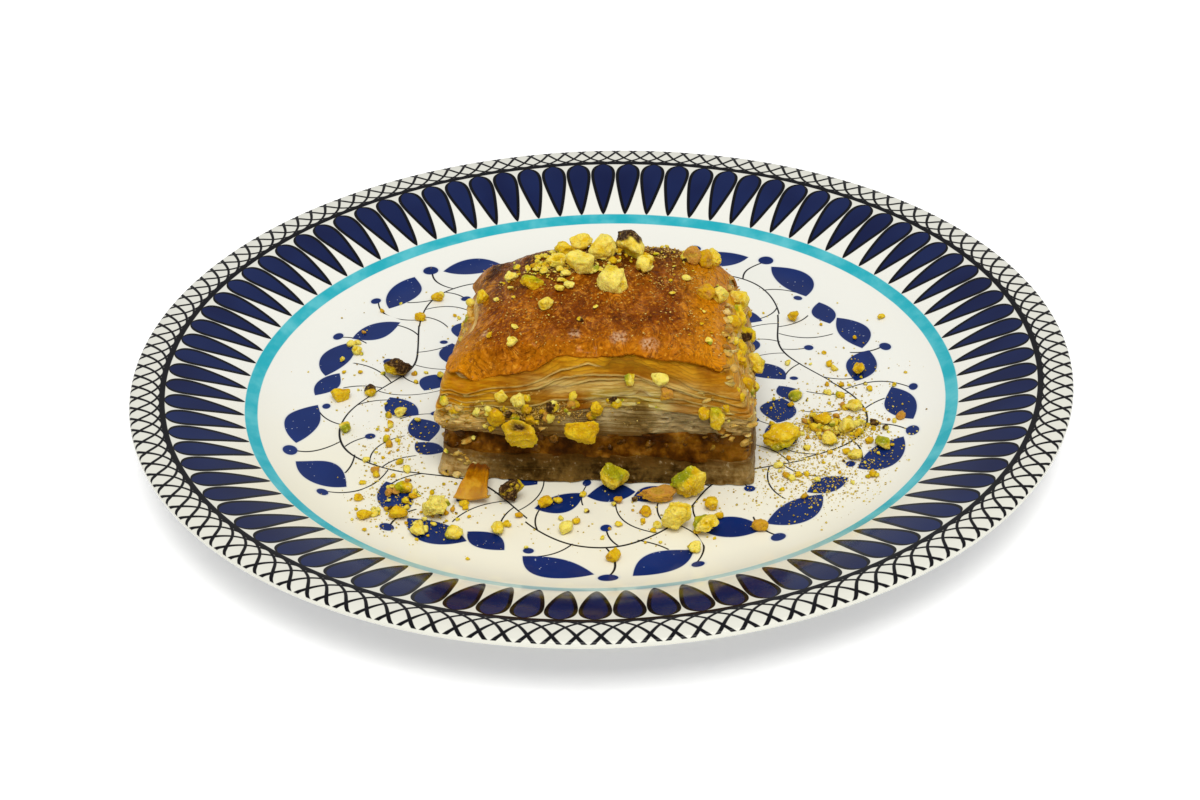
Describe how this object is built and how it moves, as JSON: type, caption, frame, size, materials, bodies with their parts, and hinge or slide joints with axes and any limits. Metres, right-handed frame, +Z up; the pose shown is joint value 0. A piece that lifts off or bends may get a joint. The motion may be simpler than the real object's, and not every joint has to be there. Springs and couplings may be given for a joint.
{
  "type": "baklava slice on a dessert plate",
  "caption": "Slice of layered baklava with a dark nut filling, browned crust and chopped pistachios on a round dessert plate with a painted border.",
  "frame": {"origin": "middle of the plate's foot ring, on the table", "axes": "+Z up; the slice's cut front faces -Y, turned about 6.5 degrees clockwise seen from above; +X to the right"},
  "size_m": [0.209, 0.209, 0.0434],
  "materials": {
    "white_glaze": "cream-white gloss glaze with a cobalt, black and turquoise border",
    "pressed_pastry": "syrup-soaked pastry sheets, moist and slightly translucent",
    "nut_filling": "dark, moist chopped nuts bound with syrup",
    "golden_pastry": "browned crisp pastry with a thin syrup gloss",
    "crisp_pastry": "thin translucent crisp pastry",
    "pistachio": "dry chopped pistachio"
  },
  "bodies": {
    "root": {"plate": "white_glaze", "base_layers": "pressed_pastry", "nut_filling": "nut_filling", "top_layers": "golden_pastry", "pastry_shard": "crisp_pastry", "pistachio_front_left": "pistachio", "pistachio_front_green": "pistachio", "pistachio_front_orange": "pistachio", "pistachio_right_half": "pistachio", "pistachio_near_green": "pistachio", "pistachio_near_dark": "pistachio", "pistachio_left_near": "pistachio", "pistachio_left_dark": "pistachio", "pistachio_brown_lump": "pistachio", "pistachio_on_front": "pistachio", "pistachio_on_left_front": "pistachio"}
  },
  "joints": []
}
